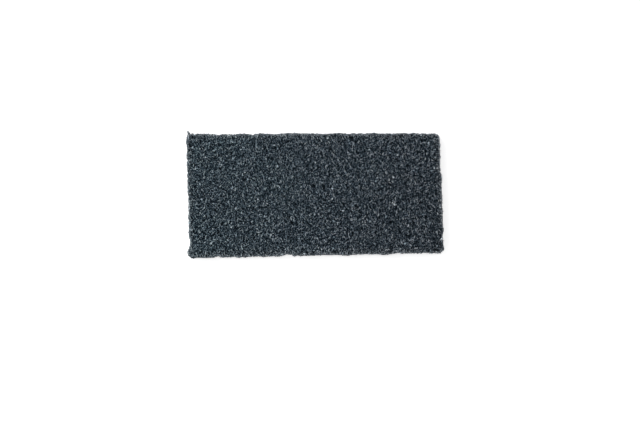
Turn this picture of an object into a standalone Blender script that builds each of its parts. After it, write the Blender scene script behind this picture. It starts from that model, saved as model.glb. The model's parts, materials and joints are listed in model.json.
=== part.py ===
"""Hand scrubbing pad: one slab of stiff, open fibre web, in metres, +Z up.

The pad lies flat. Its length runs along X, its width along Y, and the edge
at -Y is the near one. The outline is a hand-cut one, a little out of square,
with small bites and tufts. Both faces and the cut walls have the open cells
of the web, whose crests stay in the plane of each face.
"""

import math
from collections import namedtuple

import bmesh
import bpy
from mathutils import Vector, noise

# Overall size
PAD_LENGTH = 0.250
PAD_WIDTH = 0.120
PAD_THICKNESS = 0.022

# How far the cut is out of square
LEFT_END_LEAN = 0.0033
RIGHT_END_LEAN = 0.0047
FAR_EDGE_RISE = 0.0009
NEAR_EDGE_RISE = 0.0053

# Corner radii, seen from above
FAR_LEFT_RADIUS = 0.0012
FAR_RIGHT_RADIUS = 0.0045
NEAR_RIGHT_RADIUS = 0.0050
NEAR_LEFT_RADIUS = 0.0030

# The soft rim where a face meets a cut wall
RIM_DROP = 0.0011
RIM_INSET = 0.0008

# Cells of the web on the two faces, and the finer pores between its strands
CELL_SPACING = 0.0100
CELL_DEPTH = 0.0009
STRAND_SHARE = 0.10
PORE_SPACING = 0.0038
PORE_DEPTH = 0.0016

# How far the strands wander from an even grid, which keeps cells of its own size
STRAND_WANDER = 0.0008
WANDER_SPACING = 0.0013

# Cells of the web on the cut walls
WALL_CELL_SPACING = 0.0080
WALL_CELL_DEPTH = 0.0016

# Waver of the cut line, and how far in from the edge it pulls the faces
CUT_WAVER = 0.0003
CUT_WAVER_LENGTH = 0.0090
EDGE_PULL = 0.0090

# Divisions of the slab along X, Y and Z
CELLS_ALONG = 69
CELLS_ACROSS = 33
CELLS_DEEP = 5

# Bites out of the cut line, and tufts beyond it, which have a negative depth.
# The place is an X on the far and near edges and a Y on the left and right ones.
CutMark = namedtuple("CutMark", "edge place depth reach")
CUT_MARKS = (
    CutMark(edge="far", place=-0.0950, depth=0.0009, reach=0.0060),
    CutMark(edge="far", place=-0.0800, depth=0.0009, reach=0.0060),
    CutMark(edge="far", place=-0.0625, depth=0.0011, reach=0.0055),
    CutMark(edge="far", place=-0.0380, depth=0.0009, reach=0.0050),
    CutMark(edge="far", place=-0.0250, depth=-0.0008, reach=0.0120),
    CutMark(edge="far", place=0.0245, depth=-0.0010, reach=0.0060),
    CutMark(edge="far", place=0.0490, depth=0.0007, reach=0.0050),
    CutMark(edge="far", place=0.1115, depth=0.0010, reach=0.0050),
    CutMark(edge="near", place=-0.0965, depth=0.0016, reach=0.0060),
    CutMark(edge="near", place=-0.0740, depth=-0.0005, reach=0.0100),
    CutMark(edge="near", place=-0.0275, depth=0.0024, reach=0.0050),
    CutMark(edge="near", place=0.0270, depth=-0.0005, reach=0.0130),
    CutMark(edge="near", place=0.0700, depth=-0.0008, reach=0.0095),
    CutMark(edge="near", place=0.0805, depth=0.0010, reach=0.0050),
    CutMark(edge="left", place=-0.0470, depth=0.0012, reach=0.0060),
    CutMark(edge="left", place=-0.0590, depth=-0.0016, reach=0.0075),
    CutMark(edge="right", place=0.0500, depth=-0.0008, reach=0.0050),
    CutMark(edge="right", place=0.0260, depth=0.0010, reach=0.0070),
    CutMark(edge="right", place=0.0160, depth=-0.0006, reach=0.0060),
    CutMark(edge="right", place=-0.0200, depth=-0.0007, reach=0.0120),
    CutMark(edge="right", place=-0.0350, depth=-0.0010, reach=0.0050),
    CutMark(edge="right", place=-0.0450, depth=0.0008, reach=0.0080),
)

# Each edge and each face reads the noise at a place of its own. Those of the
# faces put a crest in the middle, where the pad is held.
EDGE_SEEDS = {
    "far": Vector((3.1, 7.7, 1.3)),
    "near": Vector((12.4, 2.2, 5.8)),
    "left": Vector((21.7, 9.3, 4.1)),
    "right": Vector((33.9, 5.6, 8.2)),
}
TOP_SEED = Vector((9.0, 8.7, 7.8))
UNDERSIDE_SEED = Vector((22.0, 12.2, 4.3))

PAD_NAME = "scrubbing_pad"
COLLECTION_NAME = "hand_scrubbing_pad"
WEB_COLOUR = (0.0411, 0.0527, 0.0629, 1.0)
WEB_ROUGHNESS = 0.9


def clear_scene():
    for thing in list(bpy.data.objects):
        bpy.data.objects.remove(thing, do_unlink=True)


def smooth_step(value):
    value = min(1.0, max(0.0, value))
    return value * value * (3.0 - 2.0 * value)


def make_material():
    material = bpy.data.materials.new("bonded_fibre_web")
    material.use_nodes = True
    shader = material.node_tree.nodes["Principled BSDF"]
    shader.inputs["Base Color"].default_value = WEB_COLOUR
    shader.inputs["Roughness"].default_value = WEB_ROUGHNESS
    shader.inputs["Metallic"].default_value = 0.0
    material.diffuse_color = WEB_COLOUR
    return material


def divided_block():
    """A block of the pad's size, centred, with its surface divided into cells."""
    block = bmesh.new()
    bmesh.ops.create_cube(block, size=1.0)
    for axis, cells in enumerate((CELLS_ALONG, CELLS_ACROSS, CELLS_DEEP)):
        edges = [
            edge for edge in block.edges
            if abs(edge.verts[0].co[axis] - edge.verts[1].co[axis]) > 0.5
        ]
        bmesh.ops.subdivide_edges(block, edges=edges, cuts=cells - 1, use_grid_fill=True)
    size = Vector((PAD_LENGTH, PAD_WIDTH, PAD_THICKNESS))
    bmesh.ops.scale(block, vec=size, verts=block.verts)
    return block


def rounded_corner(x, y):
    """Moves a point of the plain rectangle so that the corners are arcs."""
    radius = {
        (False, True): FAR_LEFT_RADIUS,
        (True, True): FAR_RIGHT_RADIUS,
        (True, False): NEAR_RIGHT_RADIUS,
        (False, False): NEAR_LEFT_RADIUS,
    }[(x > 0.0, y > 0.0)]
    across = (abs(x) - PAD_LENGTH / 2 + radius) / radius
    along = (abs(y) - PAD_WIDTH / 2 + radius) / radius
    if across <= 0.0 or along <= 0.0:
        return x, y
    turned_x = across * math.sqrt(1.0 - along * along / 2.0)
    turned_y = along * math.sqrt(1.0 - across * across / 2.0)
    new_x = PAD_LENGTH / 2 - radius + radius * turned_x
    new_y = PAD_WIDTH / 2 - radius + radius * turned_y
    return math.copysign(new_x, x), math.copysign(new_y, y)


def out_of_square(x, y):
    """Leans the two ends and tilts the two long edges."""
    to_right = x / PAD_LENGTH + 0.5
    to_far = y / PAD_WIDTH + 0.5
    lean = LEFT_END_LEAN + (RIGHT_END_LEAN - LEFT_END_LEAN) * to_right
    rise = NEAR_EDGE_RISE + (FAR_EDGE_RISE - NEAR_EDGE_RISE) * to_far
    return x - lean * (to_far - 0.5), y + rise * (to_right - 0.5)


def cut_offset(edge, place, height):
    """How far the cut line stands out from the straight edge, at one place and height."""
    seed = EDGE_SEEDS[edge]
    waver = noise.noise(Vector((place / CUT_WAVER_LENGTH, 0.0, 0.0)) + seed)
    offset = CUT_WAVER * 2.0 * waver
    for mark in CUT_MARKS:
        if mark.edge == edge:
            nearness = 1.0 - abs(place - mark.place) / mark.reach
            offset -= mark.depth * smooth_step(nearness)
    at = Vector((place, height, 0.0)) / WALL_CELL_SPACING + seed
    nearest, second = noise.voronoi(at)[0][:2]
    cell = smooth_step((second - nearest - STRAND_SHARE) * 2.0)
    from_rim = PAD_THICKNESS / 2 - abs(height)
    wall_share = smooth_step(from_rim / RIM_DROP / 2.0)
    return offset - WALL_CELL_DEPTH * cell * wall_share


def cut_edges(x, y, leaned_x, leaned_y, height):
    """Pulls a point in or out with the cut lines that it is near."""
    shift_x = 0.0
    shift_y = 0.0
    for edge, gap, place in (
        ("left", x + PAD_LENGTH / 2, leaned_y),
        ("right", PAD_LENGTH / 2 - x, leaned_y),
        ("near", y + PAD_WIDTH / 2, leaned_x),
        ("far", PAD_WIDTH / 2 - y, leaned_x),
    ):
        share = 1.0 - smooth_step(gap / EDGE_PULL)
        if share <= 0.0:
            continue
        out = cut_offset(edge, place, height) * share
        if edge in ("left", "right"):
            shift_x += out if edge == "right" else -out
        else:
            shift_y += out if edge == "far" else -out
    return shift_x, shift_y


def face_depth(x, y, seed):
    """Depth of the web's open cells and pores below the plane of a face."""
    at = Vector((x, y, 0.0))
    nearest, second = noise.voronoi(at / CELL_SPACING + seed)[0][:2]
    cell = smooth_step((second - nearest - STRAND_SHARE) * 2.2)
    pore = max(0.0, noise.noise(at / PORE_SPACING + seed) * 2.0)
    return CELL_DEPTH * cell + PORE_DEPTH * pore


def strand_wander(x, y, z):
    """A small shift of one point, the same each run."""
    at = Vector((x, y, z)) / WANDER_SPACING
    return (noise.cell_vector(at) - Vector((0.5, 0.5, 0.5))) * 2.0 * STRAND_WANDER


def shape_web(block):
    """Gives every point of the block its place on the pad."""
    half = Vector((PAD_LENGTH, PAD_WIDTH, PAD_THICKNESS)) / 2
    tiny = PAD_THICKNESS / CELLS_DEEP / 10
    for vert in block.verts:
        x, y, z = vert.co
        on_end = half.x - abs(x) < tiny
        on_long_edge = half.y - abs(y) < tiny
        on_face = half.z - abs(z) < tiny
        new_x, new_y = rounded_corner(x, y)
        new_x, new_y = out_of_square(new_x, new_y)
        shift_x, shift_y = cut_edges(x, y, new_x, new_y, z)
        wander = strand_wander(x, y, z)
        new_x += shift_x + (0.0 if on_end else wander.x)
        new_y += shift_y + (0.0 if on_long_edge else wander.y)
        new_z = z if on_face else z + wander.z
        if on_face:
            depth = face_depth(x, y, TOP_SEED if z > 0.0 else UNDERSIDE_SEED)
            if on_end or on_long_edge:
                depth = RIM_DROP + depth * 0.3
                new_x -= math.copysign(RIM_INSET, x) if on_end else 0.0
                new_y -= math.copysign(RIM_INSET, y) if on_long_edge else 0.0
            new_z = z - math.copysign(depth, z)
        vert.co = Vector((new_x, new_y, new_z))


def set_on_origin(block):
    """Moves the pad so that the middle of its underside is the origin."""
    low = Vector(min(vert.co[axis] for vert in block.verts) for axis in range(3))
    high = Vector(max(vert.co[axis] for vert in block.verts) for axis in range(3))
    middle = (low + high) / 2
    bmesh.ops.translate(block, vec=(-middle.x, -middle.y, -low.z), verts=block.verts)


def build_pad():
    block = divided_block()
    shape_web(block)
    set_on_origin(block)
    bmesh.ops.triangulate(block, faces=block.faces, quad_method="SHORT_EDGE")
    bmesh.ops.recalc_face_normals(block, faces=block.faces)
    mesh = bpy.data.meshes.new(PAD_NAME)
    block.to_mesh(mesh)
    block.free()
    mesh.materials.append(make_material())
    pad = bpy.data.objects.new(PAD_NAME, mesh)
    collection = bpy.data.collections.new(COLLECTION_NAME)
    bpy.context.scene.collection.children.link(collection)
    collection.objects.link(pad)
    return pad


clear_scene()
build_pad()
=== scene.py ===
import json
import math
import random

import bmesh
import bpy
import numpy as np
from mathutils import Matrix, Vector, geometry, noise
from mathutils.bvhtree import BVHTree

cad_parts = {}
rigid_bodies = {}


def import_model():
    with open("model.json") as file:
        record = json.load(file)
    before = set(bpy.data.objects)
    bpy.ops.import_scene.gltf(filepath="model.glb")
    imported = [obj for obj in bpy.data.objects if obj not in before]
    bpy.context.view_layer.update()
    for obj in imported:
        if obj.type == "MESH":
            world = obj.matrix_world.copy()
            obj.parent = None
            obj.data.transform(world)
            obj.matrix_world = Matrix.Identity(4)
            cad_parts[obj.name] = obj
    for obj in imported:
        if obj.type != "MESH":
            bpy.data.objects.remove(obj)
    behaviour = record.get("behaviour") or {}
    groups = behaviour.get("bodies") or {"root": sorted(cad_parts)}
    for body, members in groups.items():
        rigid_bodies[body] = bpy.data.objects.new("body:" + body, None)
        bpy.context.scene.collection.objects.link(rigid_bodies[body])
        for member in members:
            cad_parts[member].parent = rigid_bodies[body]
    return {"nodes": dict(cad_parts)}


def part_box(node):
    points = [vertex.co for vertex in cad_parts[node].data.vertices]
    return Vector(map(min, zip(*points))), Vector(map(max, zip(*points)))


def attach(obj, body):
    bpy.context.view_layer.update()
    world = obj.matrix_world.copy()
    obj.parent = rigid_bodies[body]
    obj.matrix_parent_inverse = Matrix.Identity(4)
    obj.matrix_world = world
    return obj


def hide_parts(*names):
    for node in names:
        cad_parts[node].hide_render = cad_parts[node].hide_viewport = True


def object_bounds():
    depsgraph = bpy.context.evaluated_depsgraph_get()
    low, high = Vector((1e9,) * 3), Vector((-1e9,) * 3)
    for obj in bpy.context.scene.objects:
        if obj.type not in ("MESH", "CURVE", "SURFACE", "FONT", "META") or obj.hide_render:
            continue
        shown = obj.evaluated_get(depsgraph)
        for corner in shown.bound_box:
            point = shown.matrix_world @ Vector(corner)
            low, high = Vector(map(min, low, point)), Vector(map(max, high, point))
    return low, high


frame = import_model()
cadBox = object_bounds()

padNode = "scrubbing_pad"
mm = 0.001
noiseGain = 2.0             # noise.noise mostly stays within a half, so this spreads it to 1
noiseSpan = (0.35, 0.65)    # most of a noise texture lies between these
broadFaceRise = 0.5         # a normal that rises more than this belongs to a broad face

# The start-up file's own objects

for thing in list(bpy.data.objects):
    if thing.name in ("Cube", "Light", "Camera"):
        bpy.data.objects.remove(thing, do_unlink=True)


# Small helpers

def hexToLinear(code):
    parts = [int(code[i:i + 2], 16) / 255 for i in (1, 3, 5)]
    linear = [c / 12.92 if c <= 0.04045 else ((c + 0.055) / 1.055) ** 2.4 for c in parts]
    return (*linear, 1.0)


def fillRamp(ramp, stops):
    while len(ramp.elements) > 1:
        ramp.elements.remove(ramp.elements[-1])
    ramp.elements[0].position = stops[0][0]
    ramp.elements[0].color = hexToLinear(stops[0][1])
    for place, code in stops[1:]:
        ramp.elements.new(place).color = hexToLinear(code)


def addNode(tree, kind, settings=None, links=None):
    # a name is that of a socket or a property, and a number is a socket's place; a ramp
    # takes its stops, and From and To take a pair for their Min and Max sockets
    node = tree.nodes.new(kind)
    for name, value in (settings or {}).items():
        if name == "stops":
            fillRamp(node.color_ramp, value)
        elif name in ("From", "To"):
            for end, limit in zip((" Min", " Max"), value):
                node.inputs[name + end].default_value = limit
        elif isinstance(name, int) or name in node.inputs:
            node.inputs[name].default_value = value
        else:
            setattr(node, name, value)
    for name, source in (links or {}).items():
        tree.links.new(source, node.inputs[name])
    return node


def newMaterial(name, settings):
    material = bpy.data.materials.new(name)
    material.use_nodes = True
    shader = material.node_tree.nodes["Principled BSDF"]
    for socket, value in settings.items():
        shader.inputs[socket].default_value = value
    return material, material.node_tree, shader


def roughenWithGrit(tree, shader, place, grit):
    # fine bumps over the whole surface; gives back the noise that they follow
    speckle = addNode(tree, "ShaderNodeTexNoise",
                      {"Scale": 1 / (grit["mm"] * mm), "Detail": grit["detail"]},
                      {"Vector": place})
    bump = addNode(tree, "ShaderNodeBump",
                   {"Strength": grit["strength"], "Distance": grit["height"]},
                   {"Height": speckle.outputs["Fac"]})
    tree.links.new(bump.outputs["Normal"], shader.inputs["Normal"])
    return speckle.outputs["Fac"]


def newPiece(name, mesh, material):
    piece = bpy.data.objects.new(name, mesh)
    bpy.context.scene.collection.objects.link(piece)
    mesh.materials.append(material)
    mesh.shade_smooth()
    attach(piece, "root")
    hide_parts(padNode)
    return piece


# Bonded nonwoven web: crimped nylon fibres, sprayed with a phenolic resin that
# carries fine mineral grit, then oven cured. The eye gets a matt slate tangle
# whose fibres turn pale where the coat is thick and sink to near black below; part of that
# darkening is painted shade.
# Along the cut edges the broken fibres look paler, drier and greyer; the paleness is partly
# painted light, as from the white floor round the pad.

fibreLook = {
    "ior": 1.53,
    # how much resin a strand carries, by its rank from 0 to 1; the white at the top end is partly
    # painted highlight, for glints off the palest fibres
    "paleness": [(0.0, "#141414"), (0.25, "#2C2C2C"), (0.5, "#545454"), (0.7, "#727272"),
                 (0.85, "#8C8C8C"), (0.95, "#A8A8A8"), (0.98, "#FFFFFF")],
    "resin": [(0.0, "#00060B"), (0.013, "#07222F"), (0.045, "#2C3E4B"), (0.127, "#536675"),
              (0.25, "#778A9A"), (0.52, "#ABC0D0"), (1.0, "#E6F4FF")],   # thin to thick coat
    "tintsAndPaintedShade": [(0.0, "#F7FBF6"), (0.5, "#FAF6F3"), (1.0, "#F6EEEB")],   # left end to right end; the right end is also darker, as painted shade for the light falling off
    "blotchMm": 40.0,      # wide, faint drifts of the tint
    "blotchShare": 0.8,
    "coatMm": 1.25,        # patches of thicker and thinner resin along a fibre
    "coatReach": (0.18, 2.2),
    "sprayAndShadeDepthMm": (-1.5, 0.1),   # the spray thins out below the face, and painted shade darkens the deeper fibres
    "sprayAndPaintedDepthShade": (0.15, 2.25),
    "rimMm": 8.0,          # how far the paler fibres reach in from the cut edge; their paleness is partly painted light
    "rimPalenessAndPaintedLight": 1.1,
    "rimSaturation": 0.55,
    "roughness": (0.8, 0.38),      # thin coat to thick coat
    "gloss": 0.1,
    # the real grit, about 0.1 mm, is too fine to show, so it is drawn coarser
    "grit": {"mm": 0.35, "detail": 2.0, "strength": 0.5, "height": 0.1 * mm},
}


def curedFibreMaterial():
    look = fibreLook
    material, tree, shader = newMaterial("resinCoatedNylonFibre",
                                         {"IOR": look["ior"], "Specular IOR Level": look["gloss"]})
    place = addNode(tree, "ShaderNodeTexCoord").outputs["Object"]
    rank = addNode(tree, "ShaderNodeAttribute", {"attribute_name": "shade"})
    paleness = addNode(tree, "ShaderNodeValToRGB", {"stops": look["paleness"]},
                       {"Fac": rank.outputs["Fac"]})
    coat = addNode(tree, "ShaderNodeTexNoise",
                   {"Scale": 1 / (look["coatMm"] * mm), "Detail": 1.0}, {"Vector": place})
    coatShade = addNode(tree, "ShaderNodeMapRange", {"From": noiseSpan, "To": look["coatReach"]},
                        {"Value": coat.outputs["Fac"]})
    # painted shade: fibres lying deeper below the face are coloured darker, along with the thinner
    # spray there
    depth = addNode(tree, "ShaderNodeAttribute", {"attribute_name": "depthMm"})
    depthShading = addNode(tree, "ShaderNodeMapRange",
                    {"From": look["sprayAndShadeDepthMm"], "To": look["sprayAndPaintedDepthShade"]},
                    {"Value": depth.outputs["Fac"]})
    amount = paleness.outputs["Color"]
    for share in (coatShade, depthShading):
        product = addNode(tree, "ShaderNodeMath", {"operation": "MULTIPLY"},
                          {0: amount, 1: share.outputs["Result"]})
        amount = product.outputs["Value"]
    resin = addNode(tree, "ShaderNodeValToRGB", {"stops": look["resin"]}, {"Fac": amount})

    blotch = addNode(tree, "ShaderNodeTexNoise",
                     {"Scale": 1 / (look["blotchMm"] * mm), "Detail": 2.0}, {"Vector": place})
    # painted shade: along the pad the tint also darkens towards the right end, for light falling
    # off from the lamp
    across = addNode(tree, "ShaderNodeSeparateXYZ", {}, {"Vector": place})
    offset = look["blotchShare"] / 2
    along = addNode(tree, "ShaderNodeMapRange",
                    {"From": (cadBox[0].x, cadBox[1].x), "To": (-offset, 1 - offset)},
                    {"Value": across.outputs["X"]})
    drift = addNode(tree, "ShaderNodeMath",
                    {"operation": "MULTIPLY_ADD", 1: look["blotchShare"]},
                    {0: blotch.outputs["Fac"], 2: along.outputs["Result"]})
    tintAndShade = addNode(tree, "ShaderNodeValToRGB", {"stops": look["tintsAndPaintedShade"]},
                   {"Fac": drift.outputs["Value"]})
    tintedAndShaded = addNode(tree, "ShaderNodeMix",
                     {"data_type": "RGBA", "blend_type": "MULTIPLY", "Factor": 1.0},
                     {"A": resin.outputs["Color"], "B": tintAndShade.outputs["Color"]})

    # painted light near the cut edge, together with the broken fibres' own paler, greyer look
    edge = addNode(tree, "ShaderNodeAttribute", {"attribute_name": "edgeMm"})
    rim = {"Color": tintedAndShaded.outputs["Result"]}
    for socket, atTheEdge in (("Value", look["rimPalenessAndPaintedLight"]), ("Saturation", look["rimSaturation"])):
        fade = addNode(tree, "ShaderNodeMapRange",
                       {"From": (0.0, look["rimMm"]), "To": (atTheEdge, 1.0)},
                       {"Value": edge.outputs["Fac"]})
        rim[socket] = fade.outputs["Result"]
    rimmed = addNode(tree, "ShaderNodeHueSaturation", {}, rim)
    tree.links.new(rimmed.outputs["Color"], shader.inputs["Base Color"])

    rough = addNode(tree, "ShaderNodeMapRange", {"From": noiseSpan, "To": look["roughness"]},
                    {"Value": coat.outputs["Fac"]})
    tree.links.new(rough.outputs["Result"], shader.inputs["Roughness"])
    roughenWithGrit(tree, shader, place, look["grit"])
    return material


# Phenolic resin that ran together where fibres cross and cured as small beads.
# The eye gets the palest specks of the web, a little glossier than its fibres; their near white is
# partly painted highlight, standing in for glints off the fibres.

beadAndGlintLook = {
    "ior": 1.53,
    "shades": [(0.0, "#8094A4"), (0.5, "#BDD0DE"), (0.8, "#ECF7FF")],
    "roughness": (0.3, 0.6),
    "grit": {"mm": 0.4, "detail": 2.0, "strength": 0.4, "height": 0.08 * mm},
}


def resinBeadMaterial():
    look = beadAndGlintLook
    material, tree, shader = newMaterial("pooledResinWithPaintedGlint", {"IOR": look["ior"]})
    place = addNode(tree, "ShaderNodeTexCoord").outputs["Object"]
    bead = addNode(tree, "ShaderNodeNewGeometry")
    # painted highlight: the beads' near white shades stand in for glints as well as pale resin
    shade = addNode(tree, "ShaderNodeValToRGB", {"stops": look["shades"]},
                    {"Fac": bead.outputs["Random Per Island"]})
    tree.links.new(shade.outputs["Color"], shader.inputs["Base Color"])
    speckle = roughenWithGrit(tree, shader, place, look["grit"])
    rough = addNode(tree, "ShaderNodeMapRange", {"From": noiseSpan, "To": look["roughness"]},
                    {"Value": speckle})
    tree.links.new(rough.outputs["Result"], shader.inputs["Roughness"])
    return material


# The bonded core under the loose fibres, which the spray hardly reached. The eye
# gets near black openings with a faint net of the mat's own strands round them; that near black is
# painted shade, standing for the deep voids of the web.

coreLook = {
    "ior": 1.53,
    "gloss": 0.02,
    "roughness": 0.85,
    # painted shade: the near black of the openings stands for the deep voids of the web
    "paintedVoidShade": "#04080B",
    "strand": "#18232B",
    "rimMm": 2.5,
    "rimPalenessAndPaintedLight": 4.5,       # painted light: the mat is coloured paler near the cut edge, so its walls in shade don't go black
    "meshMm": 1.7,         # width of the openings between the mat's own strands
    "strandShare": 0.16,
    "bendMm": 1.6,
    "bend": 0.5 * mm,      # how far the strands wander to each side
    "grit": {"mm": 0.5, "detail": 3.0, "strength": 0.7, "height": 0.25 * mm},
}


def webCoreMaterial():
    look = coreLook
    material, tree, shader = newMaterial("resinBondedFibreMat",
                                         {"IOR": look["ior"], "Specular IOR Level": look["gloss"],
                                          "Roughness": look["roughness"]})
    place = addNode(tree, "ShaderNodeTexCoord").outputs["Object"]
    bend = addNode(tree, "ShaderNodeTexNoise",
                   {"Scale": 1 / (look["bendMm"] * mm), "Detail": 1.0}, {"Vector": place})
    centred = addNode(tree, "ShaderNodeVectorMath", {"operation": "SUBTRACT", 1: (0.5, 0.5, 0.5)},
                      {0: bend.outputs["Color"]})
    bent = addNode(tree, "ShaderNodeVectorMath",
                   {"operation": "MULTIPLY_ADD", 1: [2 * look["bend"]] * 3},
                   {0: centred.outputs["Vector"], 2: place})
    openings = addNode(tree, "ShaderNodeTexVoronoi",
                       {"feature": "DISTANCE_TO_EDGE", "Scale": 1 / (look["meshMm"] * mm)},
                       {"Vector": bent.outputs["Vector"]})
    onStrand = addNode(tree, "ShaderNodeMapRange", {"From": (look["strandShare"], 0.0)},
                       {"Value": openings.outputs["Distance"]})
    shade = addNode(tree, "ShaderNodeMix",
                    {"data_type": "RGBA", "A": hexToLinear(look["paintedVoidShade"]),
                     "B": hexToLinear(look["strand"])}, {"Factor": onStrand.outputs["Result"]})
    edge = addNode(tree, "ShaderNodeAttribute", {"attribute_name": "edgeMm"})
    # painted light: the mat's colour is scaled up near the cut edge
    rimPalenessAndPaintedLight = addNode(tree, "ShaderNodeMapRange",
                       {"From": (0.0, look["rimMm"]), "To": (look["rimPalenessAndPaintedLight"], 1.0)},
                       {"Value": edge.outputs["Fac"]})
    rimmed = addNode(tree, "ShaderNodeVectorMath", {"operation": "SCALE"},
                     {0: shade.outputs["Result"], "Scale": rimPalenessAndPaintedLight.outputs["Result"]})
    tree.links.new(rimmed.outputs["Vector"], shader.inputs["Base Color"])
    roughenWithGrit(tree, shader, place, look["grit"])
    return material


# The mat itself: the solid's form with finer pores between its strands

matForm = {
    "weldWithin": 0.01 * mm,
    "cuts": 2,              # each triangle of the solid becomes 9
    "softening": 2,         # rounds of smoothing, each by half
    "softenBy": 0.5,
    "raggedMm": 2.6,        # the cut edge seen from above
    "raggedDepth": 0.6 * mm,
    "raggedRise": 0.35,     # below 1, the same nick runs further up and down the wall
    "recess": {"face": 0.9 * mm, "wall": 0.3 * mm},     # under the loose fibres
    "poreMm": 2.4,
    "poreDepth": 1.4 * mm,
    "poreSeed": Vector((3.1, 7.4, 1.9)),
    "fuzzMm": 1.1,
    "fuzzHeight": 0.35 * mm,
    "fuzzSeed": Vector((8.3, 2.2, 5.7)),
}


def onBroadFace(normal):
    return abs(normal.z) > broadFaceRise


def edgeDistances(outline, spots):
    # mm from each spot in to the pad's outline, seen from above
    ends = np.roll(outline, -1, axis=0)
    along = (ends - outline) / np.linalg.norm(ends - outline, axis=1, keepdims=True)
    inward = np.stack([-along[:, 1], along[:, 0]], axis=-1)
    away = (spots[:, None, :2] - outline[None]) * inward[None]
    return away.sum(axis=2).min(axis=1) / mm


def addPointValues(mesh, name, values):
    store = mesh.attributes.new(name, "FLOAT", "POINT")
    store.data.foreach_set("value", np.asarray(values, dtype=np.float32))


def makeRagged(build):
    # moves the walls in and out, as the knife left them
    for vert in build.verts:
        outward = Vector((vert.normal.x, vert.normal.y, 0))
        place = Vector((vert.co.x, vert.co.y, vert.co.z * matForm["raggedRise"]))
        ragged = noise.noise(place / (matForm["raggedMm"] * mm))
        vert.co += outward * matForm["raggedDepth"] * noiseGain * ragged
    build.normal_update()


def sinkPores(build):
    # draws the mat back under the loose fibres, more so in its pores
    for vert in build.verts:
        pore = noise.noise(vert.co / (matForm["poreMm"] * mm) + matForm["poreSeed"])
        fuzz = noise.noise(vert.co / (matForm["fuzzMm"] * mm) + matForm["fuzzSeed"])
        depth = matForm["recess"]["face" if onBroadFace(vert.normal) else "wall"]
        depth += matForm["poreDepth"] * max(0.0, pore * noiseGain)
        depth += matForm["fuzzHeight"] * (0.5 - fuzz)
        vert.co -= vert.normal * depth


def matMesh():
    # gives back the mat, the surface that the fibres follow, and the pad's outline
    build = bmesh.new()
    build.from_mesh(frame["nodes"][padNode].data)
    bmesh.ops.remove_doubles(build, verts=build.verts, dist=matForm["weldWithin"])
    bmesh.ops.subdivide_edges(build, edges=build.edges, cuts=matForm["cuts"], use_grid_fill=True)
    for _ in range(matForm["softening"]):
        bmesh.ops.smooth_vert(build, verts=build.verts, factor=matForm["softenBy"],
                              use_axis_x=True, use_axis_y=True, use_axis_z=True)
    build.normal_update()
    makeRagged(build)
    surface = BVHTree.FromBMesh(build)
    flat = [vert.co.to_2d() for vert in build.verts]
    outline = np.array([flat[i][:] for i in geometry.convex_hull_2d(flat)])
    sinkPores(build)
    mesh = bpy.data.meshes.new("fibreMat")
    build.to_mesh(mesh)
    build.free()
    spots = np.array([vert.co[:] for vert in mesh.vertices])
    addPointValues(mesh, "edgeMm", edgeDistances(outline, spots))
    return mesh, surface, outline


# Fibres that bridge the mat's hollows and dive in and out of it. Real ones are
# about 0.1 mm thick; these are drawn coarser, as the small clumps they form.
# Step, radius, lift and wave are in mm, and curl is in radians at a point. Coat
# runs from thin, 0, to thick, 1. A group's strands are lifted by proud, and none
# stands higher above the solid's surface than highest, both in mm.

strandKinds = {
    "straight": {"points": 2, "step": (0.8, 1.4), "radius": (0.15, 0.30), "lift": (-1.5, 0.1),
                 "wave": 0.35, "curl": 0.9, "coat": (0.0, 0.95)},
    "short": {"points": 3, "step": (0.45, 0.75), "radius": (0.15, 0.32), "lift": (-1.5, 0.1),
              "wave": 0.35, "curl": 0.9, "coat": (0.0, 0.95)},
    "medium": {"points": 4, "step": (0.6, 1.0), "radius": (0.13, 0.22), "lift": (-1.2, 0.15),
               "wave": 0.35, "curl": 0.6, "coat": (0.5, 1.0)},
    "long": {"points": 8, "step": (0.9, 1.4), "radius": (0.14, 0.24), "lift": (-0.8, 0.1),
             "wave": 0.45, "curl": 0.7, "coat": (0.0, 0.7)},
}
strandGroups = {
    "top": {"pieces": ["topFibresBelow", "topFibresMiddle", "topFibresAbove"],
            "shades": (0.0, 1.0), "thickness": 1.0, "proud": 0.0, "highest": 0.45,
            "counts": {"short": 18000, "medium": 5000, "straight": 19000, "long": 450}},
    "underside": {"pieces": ["undersideFibres"],
                  "shades": (0.35, 0.97), "thickness": 1.5, "proud": 0.3, "highest": -0.1,
                  "counts": {"short": 5500, "straight": 9500, "long": 300}},
    "wall": {"pieces": ["wallFibres"],
             "shades": (0.12, 0.8), "thickness": 1.0, "proud": 0.4, "highest": 0.5,
             "counts": {"short": 5500, "straight": 8000, "long": 100}},
}
fibreLay = {
    "seed": 31,
    "grain": 3.0,            # carding laid more of the fibres across the pad than along it
    "paleOnTop": 0.3,        # how much the pale strands lie above the dark ones, 0 to 1
    "thickCoat": 0.93,       # strands with more coat than this are also thicker
    "thickSwell": 1.3,
    "followed": 0.15,        # share of the face's hollows that the fibres follow
    "deepest": 2.5 * mm,     # they bridge no more depth than this
    "upright": 2.0,          # how much a face's normals are turned straight up
    "pace": (1.2, 2.4),      # of the wave along a strand, in radians at a point
    "firstCurl": 0.5,
    "curlKept": 0.6,         # from one point to the next
    "thinness": 1.5,         # above 1, more of the strands are thin
    "sameFace": 0.5,         # least agreement of two normals on one face
    "tipTaper": 0.55,
    "stubTaper": 0.85,       # of strands with two points
    "mapMargin": 0.12,       # round each strand in its square of the texture map
    "blockSide": 1,          # cells; above 1, each block of cells shares out the shades
}


def between(limits, dice, power=1.0):
    # metres, from limits in mm
    return (limits[0] + (limits[1] - limits[0]) * dice.random() ** power) * mm


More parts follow.
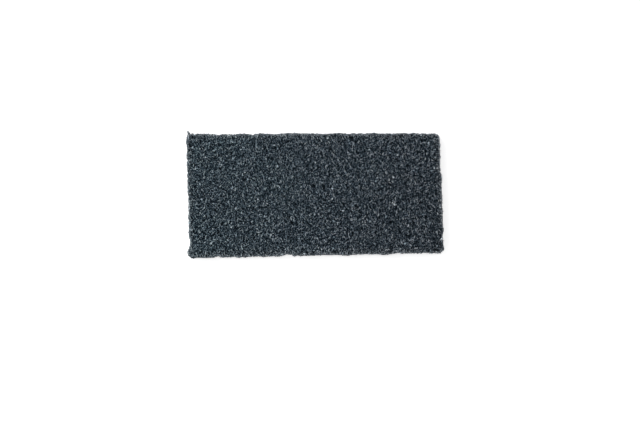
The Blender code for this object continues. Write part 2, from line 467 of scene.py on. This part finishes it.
def evenSpots(width, height, count, dice):
    # one random spot in each cell of an even grid, so that the web has no bald patches,
    # and a rank from 0 to 1 that gives the strand its shade
    side = fibreLay["blockSide"]
    rows = max(1, round(math.sqrt(count * height / width)))
    columns = math.ceil(count / rows)
    cells = [(i, j) for i in range(columns) for j in range(rows)]
    dice.shuffle(cells)
    steps = side ** 2
    blocks, spots = {}, []
    for i, j in cells[:count]:
        order = blocks.setdefault((i // side, j // side), dice.sample(range(steps), steps))
        rank = (order[i % side * side + j % side] + dice.random()) / steps
        spots.append(((i + dice.random()) * width / columns,
                      (j + dice.random()) * height / rows, rank))
    return spots


probing = {
    "standoff": 2.0 * mm,    # starts outside the solid's box
    "length": 10.0 * mm,
}


def wallProbes(count, dice):
    # spots on the four sides of the solid's box, with the way in to the wall
    low, high = cadBox
    size = high - low
    probes = []
    for along, up, rank in evenSpots(2 * (size.x + size.y), size.z, count, dice):
        if along < size.x:
            spot, inward = (low.x + along, low.y), (0, 1, 0)
        elif along < size.x + size.y:
            spot, inward = (high.x, low.y + along - size.x), (-1, 0, 0)
        elif along < 2 * size.x + size.y:
            spot, inward = (low.x + along - size.x - size.y, high.y), (0, -1, 0)
        else:
            spot, inward = (low.x, low.y + along - 2 * size.x - size.y), (1, 0, 0)
        probes.append((Vector((*spot, low.z + up)), Vector(inward), rank))
    return probes


def landing(surface, probe, inward):
    # straight in, so that the walls' hollows get their share, else the nearest place
    if inward:
        start = probe - inward * probing["standoff"]
        spot, normal = surface.ray_cast(start, inward, probing["length"])[:2]
        if spot:
            return spot, normal
    return surface.find_nearest(probe)[:2]


def startsOn(surface, face, count, dice):
    low, high = cadBox
    if face == "wall":
        probes = wallProbes(count, dice)
    else:
        z = high.z if face == "top" else low.z
        probes = [(Vector((low.x + x, low.y + y, z)), None, rank)
                  for x, y, rank in evenSpots(high.x - low.x, high.y - low.y, count, dice)]
    return [(*landing(surface, probe, inward), rank) for probe, inward, rank in probes]


def bridged(spot, normal):
    # lifts a point of a broad face towards its crests, as fibres span the hollows
    if not onBroadFace(normal):
        return spot, normal
    crest = cadBox[1].z if normal.z > 0 else cadBox[0].z
    side = 1 if normal.z > 0 else -1
    below = min((crest - spot.z) * side, fibreLay["deepest"])
    raised = Vector((spot.x, spot.y, spot.z + side * below * (1 - fibreLay["followed"])))
    return raised, (normal + Vector((0, 0, fibreLay["upright"] * side))).normalized()


def strandPath(surface, kind, face, start, normal, heading, rank, dice):
    lay, group = fibreLay, strandGroups[face]
    step = dice.uniform(*kind["step"]) * mm
    lowest, highest = kind["lift"]
    height = (1 - lay["paleOnTop"]) * dice.random() + lay["paleOnTop"] * rank
    lift = lowest + (highest - lowest) * height + group["proud"]
    phase = dice.uniform(0, 2 * math.pi)
    pace = dice.uniform(*lay["pace"])
    curl = dice.gauss(0, kind["curl"] * lay["firstCurl"])
    back = surface.find_nearest(start - heading * step * (kind["points"] - 1) / 2)
    if back[1].dot(normal) > lay["sameFace"]:
        start, normal = back[0], back[1]
        heading = (heading - normal * heading.dot(normal)).normalized()
    spot = start
    points, normals, depths = [], [], []
    for i in range(kind["points"]):
        height = min(lift + kind["wave"] * math.sin(phase + pace * i), group["highest"])
        over, up = bridged(spot, normal)
        points.append(over + up * height * mm)
        normals.append(up)
        depths.append(height)
        curl = lay["curlKept"] * curl + (1 - lay["curlKept"]) * dice.gauss(0, kind["curl"])
        side = normal.cross(heading)
        heading = (heading * math.cos(curl) + side * math.sin(curl)).normalized()
        found = surface.find_nearest(spot + heading * step)
        spot, normal = found[0], found[1]
        heading = (heading - normal * heading.dot(normal)).normalized()
    return points, normals, depths


def strandBatch(surface, face, kindName, count, dice):
    kind, group = strandKinds[kindName], strandGroups[face]
    darkest, palest = group["shades"]
    thinnest, thickest = kind["coat"]
    paths, radii, shades = [], [], []
    for spot, normal, rank in startsOn(surface, face, count, dice):
        turn = dice.uniform(0, 2 * math.pi)
        side = normal.orthogonal().normalized()
        heading = side * math.cos(turn) + normal.cross(side) * math.sin(turn)
        heading.y *= fibreLay["grain"]
        heading.normalize()
        paths.append(strandPath(surface, kind, face, spot, normal, heading, rank, dice))
        coat = thinnest + (thickest - thinnest) * rank
        swell = max(0.0, coat - fibreLay["thickCoat"]) / (1 - fibreLay["thickCoat"])
        thickness = group["thickness"] * (1 + fibreLay["thickSwell"] * swell)
        radii.append(between(kind["radius"], dice, fibreLay["thinness"]) * thickness)
        shades.append(darkest + (palest - darkest) * coat)
    return paths, radii, shades


# Broken ends that stand out of the cut walls, and the torn tuft at one corner

cutEnds = {
    "count": 5500,
    "reach": (0.3, 1.5),     # mm out of the cut wall
    "clumpMm": 3.5,          # the knife tore the fibres out in small clumps
    "clumpContrast": 1.6,
    "shortness": 2.0,        # above 1, more of the ends are short
    "lean": 0.6,
    "root": 0.8 * mm,        # in the wall
    "radius": (0.14, 0.30),
    "shades": (0.08, 0.46),
    "depthsMm": [-0.8, 0.1],     # root and tip, for the spray
}
tuft = {
    "root": (-0.1243, 0.0608, 0.0195),    # the torn corner at the far left
    "spread": 0.7 * mm,
    "heading": (-0.35, 1.0, 0.1),
    "wander": 0.12,
    "length": (1.0, 2.6),
    "buried": 1.0 * mm,
    "count": 26,
    "depthsMm": [-0.4, 0.1],
}


def cutEndPath(spot, normal, dice):
    low, high = cutEnds["reach"]
    tornOut = 0.5 + cutEnds["clumpContrast"] * noise.noise(spot / (cutEnds["clumpMm"] * mm))
    clump = min(1.0, max(0.0, tornOut))
    reach = (low + (high - low) * clump * dice.random() ** cutEnds["shortness"]) * mm
    side = normal.orthogonal().normalized()
    turn = dice.uniform(0, 2 * math.pi)
    lean = (side * math.cos(turn) + normal.cross(side) * math.sin(turn)) * cutEnds["lean"]
    root = spot - normal * cutEnds["root"]
    tip = spot + (normal + lean).normalized() * reach
    return [root, tip], [side] * 2, cutEnds["depthsMm"]


def tuftPaths(dice):
    heading = Vector(tuft["heading"]).normalized()
    side = heading.orthogonal().normalized()
    paths = []
    for _ in range(tuft["count"]):
        loose = [Vector([dice.gauss(0, 1) for _ in range(3)]) for _ in range(2)]
        root = Vector(tuft["root"]) + loose[0] * tuft["spread"]
        tip = root + (heading + loose[1] * tuft["wander"]) * between(tuft["length"], dice)
        paths.append(([root - heading * tuft["buried"], tip], [side] * 2, tuft["depthsMm"]))
    return paths


def cutEndBatch(surface, dice):
    starts = startsOn(surface, "wall", cutEnds["count"], dice)
    paths = [cutEndPath(spot, normal, dice) for spot, normal, _ in starts] + tuftPaths(dice)
    radii = [between(cutEnds["radius"], dice, fibreLay["thinness"]) for _ in paths]
    return paths, radii, [dice.uniform(*cutEnds["shades"]) for _ in paths]


# From strands to meshes

def splitByDepth(batch, parts):
    # equal shares of a batch of strands, the deepest first, by their second points
    paths = batch[0]
    order = sorted(range(len(paths)), key=lambda i: paths[i][2][1])
    size = math.ceil(len(order) / parts)
    return [[[values[i] for i in order[k * size:(k + 1) * size]] for values in batch]
            for k in range(parts)]


def heldUp(points):
    # nothing reaches below the plane that the pad rests on
    points[..., 2] = np.maximum(points[..., 2], cadBox[0].z)
    return points


def tubes(paths, radii):
    # three-sided tubes with closed ends: corner points, faces, their places in the
    # unrolled texture map, and the depths of the points
    spots = np.array([[p[:] for p in points] for points, _, _ in paths])
    ups = np.array([[n[:] for n in normals] for _, normals, _ in paths])
    depths = np.array([d for _, _, d in paths])
    count, rings = spots.shape[:2]
    tiny = 1e-12    # keeps a strand of no length from a division by 0
    along = np.gradient(spots, axis=1)
    along /= np.linalg.norm(along, axis=2, keepdims=True) + tiny
    side = np.cross(along, ups)
    side /= np.linalg.norm(side, axis=2, keepdims=True) + tiny
    up = np.cross(side, along)
    taper = np.ones(rings)
    taper[[0, -1]] = fibreLay["tipTaper"] if rings > 2 else fibreLay["stubTaper"]
    radius = np.asarray(radii)[:, None] * taper[None, :]
    turns = np.radians([90, 210, 330])
    corners = spots[:, :, None] + radius[:, :, None, None] * (
        np.cos(turns)[:, None] * side[:, :, None] + np.sin(turns)[:, None] * up[:, :, None])
    first = (np.arange(count) * rings * 3)[:, None]
    ring, k = [grid.reshape(-1) for grid in np.meshgrid(np.arange(rings - 1), np.arange(3),
                                                        indexing="ij")]
    after = (k + 1) % 3
    quads = np.stack([first + ring * 3 + k, first + ring * 3 + after,
                      first + ring * 3 + 3 + after, first + ring * 3 + 3 + k], axis=-1)
    ends = np.stack([first + [2, 1, 0], first + (rings - 1) * 3 + [0, 1, 2]], axis=1)
    here, there = ring / (rings - 1), (ring + 1) / (rings - 1)
    quadPlace = np.stack([np.stack([here, k / 3], -1), np.stack([here, (k + 1) / 3], -1),
                          np.stack([there, (k + 1) / 3], -1), np.stack([there, k / 3], -1)],
                         axis=1)
    # the ends are triangles just past each end of the unrolled tube
    endPlace = np.array([[[-0.1, 0], [0.0, 0.5], [-0.1, 1]], [[1.1, 0], [1.0, 0.5], [1.1, 1]]])
    return corners, quads, ends, quadPlace, endPlace, depths


def strandMesh(name, batches, outline):
    # every strand has its own square in the texture map, with its tube unrolled in it
    total = sum(len(batch[0]) for batch in batches)
    across = math.ceil(math.sqrt(total))
    margin = fibreLay["mapMargin"]
    verts, faces, places, depthValues, edgeValues, shadeValues = [], [], [], [], [], []
    offset, done = 0, 0
    for paths, radii, shades in batches:
        corners, quads, ends, quadPlace, endPlace, depths = tubes(paths, radii)
        count = len(paths)
        order = done + np.arange(count)
        square = np.stack([order % across, order // across], -1)[:, None, None]
        verts.append(heldUp(corners).reshape(-1, 3))
        faces += (quads.reshape(-1, 4) + offset).tolist()
        faces += (ends.reshape(-1, 3) + offset).tolist()
        for place in (quadPlace, endPlace):
            inSquare = square + margin + (1 - 2 * margin) * place[None]
            places.append((inSquare / across).reshape(-1, 2))
        cornersEach = corners[0].size // 3
        middles = corners.reshape(count, -1, 3).mean(axis=1)
        depthValues.append(np.repeat(depths.reshape(-1), 3))
        edgeValues.append(np.repeat(edgeDistances(outline, middles), cornersEach))
        shadeValues.append(np.repeat(shades, cornersEach))
        offset += corners.size // 3
        done += count
    mesh = bpy.data.meshes.new(name)
    mesh.from_pydata(np.concatenate(verts).tolist(), [], faces)
    mesh.update()
    addPointValues(mesh, "depthMm", np.concatenate(depthValues))
    addPointValues(mesh, "edgeMm", np.concatenate(edgeValues))
    addPointValues(mesh, "shade", np.concatenate(shadeValues))
    unrolled = mesh.uv_layers.new(name="OFBake")
    unrolled.data.foreach_set("uv", np.concatenate(places).reshape(-1).astype(np.float32))
    return mesh


# Beads of pooled resin, which lie among the outermost fibres of each face; their near white is
# partly painted glint

beads = {
    "radius": (0.28, 1.0),
    "smallness": 4.0,        # above 1, more of the beads are small
    "length": (0.9, 1.7),    # share of the radius
    "width": (0.6, 0.9),
    "height": 0.5,
    "proud": {"top": (-0.1, 0.4), "wall": (-0.1, 0.3), "underside": (-0.7, -0.4)},
    "counts": {"top": 900, "underside": 800, "wall": 400},
}


def beadMesh(surface, dice):
    # small eight-sided beads, each stretched along a heading of its own
    corners = np.array([(1, 0, 0), (0, 1, 0), (-1, 0, 0), (0, -1, 0), (0, 0, 1), (0, 0, -1)])
    around = [(0, 1), (1, 2), (2, 3), (3, 0)]
    faces = np.array([(i, j, 4) for i, j in around] + [(j, i, 5) for i, j in around])
    verts, allFaces = [], []
    for face, count in beads["counts"].items():
        for spot, normal, _ in startsOn(surface, face, count, dice):
            over, up = bridged(spot, normal)
            middle = over + up * dice.uniform(*beads["proud"][face]) * mm
            stretch = (dice.uniform(*beads["length"]), dice.uniform(*beads["width"]),
                       beads["height"])
            spin = np.array(Matrix.Rotation(dice.uniform(0, math.pi), 3, "Z"))
            shape = corners * stretch * between(beads["radius"], dice, beads["smallness"])
            verts.append(heldUp(shape @ spin + middle[:]))
            allFaces.append(faces + len(corners) * len(allFaces))
    mesh = bpy.data.meshes.new("resinBeads")
    mesh.from_pydata(np.concatenate(verts).tolist(), [], np.concatenate(allFaces).tolist())
    mesh.update()
    return mesh


def makePad():
    dice = random.Random(fibreLay["seed"])
    mesh, surface, outline = matMesh()
    mat = newPiece("fibreMat", mesh, webCoreMaterial())
    print("mat:", len(mat.data.polygons), "faces")
    fibre = curedFibreMaterial()
    for face, group in strandGroups.items():
        batches = [strandBatch(surface, face, kindName, count, dice)
                   for kindName, count in group["counts"].items()]
        if face == "wall":
            batches.append(cutEndBatch(surface, dice))
        layers = zip(*[splitByDepth(batch, len(group["pieces"])) for batch in batches])
        for name, layer in zip(group["pieces"], layers):
            piece = newPiece(name, strandMesh(name, layer, outline), fibre)
            print(name, sum(len(p.vertices) - 2 for p in piece.data.polygons), "triangles")
    beadPiece = newPiece("resinBeads", beadMesh(surface, dice), resinBeadMaterial())
    print("beads:", len(beadPiece.data.polygons), "faces")


# Floor, lamp, sky and camera

studio = {
    "skyColour": "#FFFFFF",
    "skyStrength": 0.45,         # as matt light; seen or mirrored it is 1, which is white
    "lampPower": 3.15,
    "lampSize": 0.42,
    "lampPlace": (-0.28, 0.18, 0.62),
    "floorColour": "#E6E6E6",
    "floorRoughness": 0.9,
    "floorSize": 4.0,
    "floorDrop": 0.2 * mm,       # keeps the floor clear of the pad's lowest fibres
    "glowColour": "#FFFFFF",
    "floorGlow": 0.68,           # whitens the floor seen or mirrored, and lights nothing matt
    "cameraHeight": 1.4845,      # above the pad's upper face
    "cameraLens": 85.0,
    "aside": (4.85 * mm, -18.05 * mm),    # the pad lies off the middle of the photo
}


def backgroundShare(tree):
    # 1 for what the camera sees directly, mirrored or through glass, else 0
    path = addNode(tree, "ShaderNodeLightPath")
    share = path.outputs["Is Camera Ray"]
    for ray in ("Is Glossy Ray", "Is Transmission Ray"):
        more = addNode(tree, "ShaderNodeMath", {"operation": "MAXIMUM"},
                       {0: share, 1: path.outputs[ray]})
        share = more.outputs["Value"]
    return share


def makeSky(scene):
    scene.world = bpy.data.worlds.new("softbox")
    scene.world.use_nodes = True
    tree = scene.world.node_tree
    sky = tree.nodes["Background"]
    sky.inputs["Color"].default_value = hexToLinear(studio["skyColour"])
    strength = addNode(tree, "ShaderNodeMapRange", {"To": (studio["skyStrength"], 1.0)},
                       {"Value": backgroundShare(tree)})
    tree.links.new(strength.outputs["Result"], sky.inputs["Strength"])


def makeLamp(scene):
    lamp = bpy.data.lights.new("keyLamp", "AREA")
    lamp.energy = studio["lampPower"]
    lamp.size = studio["lampSize"]
    key = bpy.data.objects.new("keyLamp", lamp)
    scene.collection.objects.link(key)
    key.location = studio["lampPlace"]
    key.rotation_euler = (-key.location).to_track_quat("-Z", "Y").to_euler()


# Painted tabletop, rolled matt and white. The eye gets a plain white ground with
# the pad's soft shadow on it.

def whiteTabletopMaterial():
    paint, tree, shader = newMaterial(
        "whiteTabletop", {"Base Color": hexToLinear(studio["floorColour"]),
                          "Roughness": studio["floorRoughness"],
                          "Emission Color": hexToLinear(studio["glowColour"])})
    glow = addNode(tree, "ShaderNodeMath", {"operation": "MULTIPLY", 1: studio["floorGlow"]},
                   {0: backgroundShare(tree)})
    tree.links.new(glow.outputs["Value"], shader.inputs["Emission Strength"])
    return paint


def makeFloor(scene):
    mesh = bpy.data.meshes.new("floor")
    build = bmesh.new()
    bmesh.ops.create_grid(build, x_segments=1, y_segments=1, size=studio["floorSize"])
    build.to_mesh(mesh)
    build.free()
    mesh.materials.append(whiteTabletopMaterial())
    floor = bpy.data.objects.new("floor", mesh)
    scene.collection.objects.link(floor)
    floor.location.z = -studio["floorDrop"]


def makeCamera(scene):
    camera = bpy.data.objects.new("camera", bpy.data.cameras.new("camera"))
    scene.collection.objects.link(camera)
    camera.data.lens = studio["cameraLens"]
    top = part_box(padNode)[1].z
    camera.location = (*studio["aside"], top + studio["cameraHeight"])
    scene.camera = camera


def makeStudio():
    scene = bpy.context.scene
    scene.view_settings.view_transform = "Standard"
    makeSky(scene)
    makeLamp(scene)
    makeFloor(scene)
    makeCamera(scene)
    print("studio: sky, lamp, floor and camera")


makePad()
makeStudio()
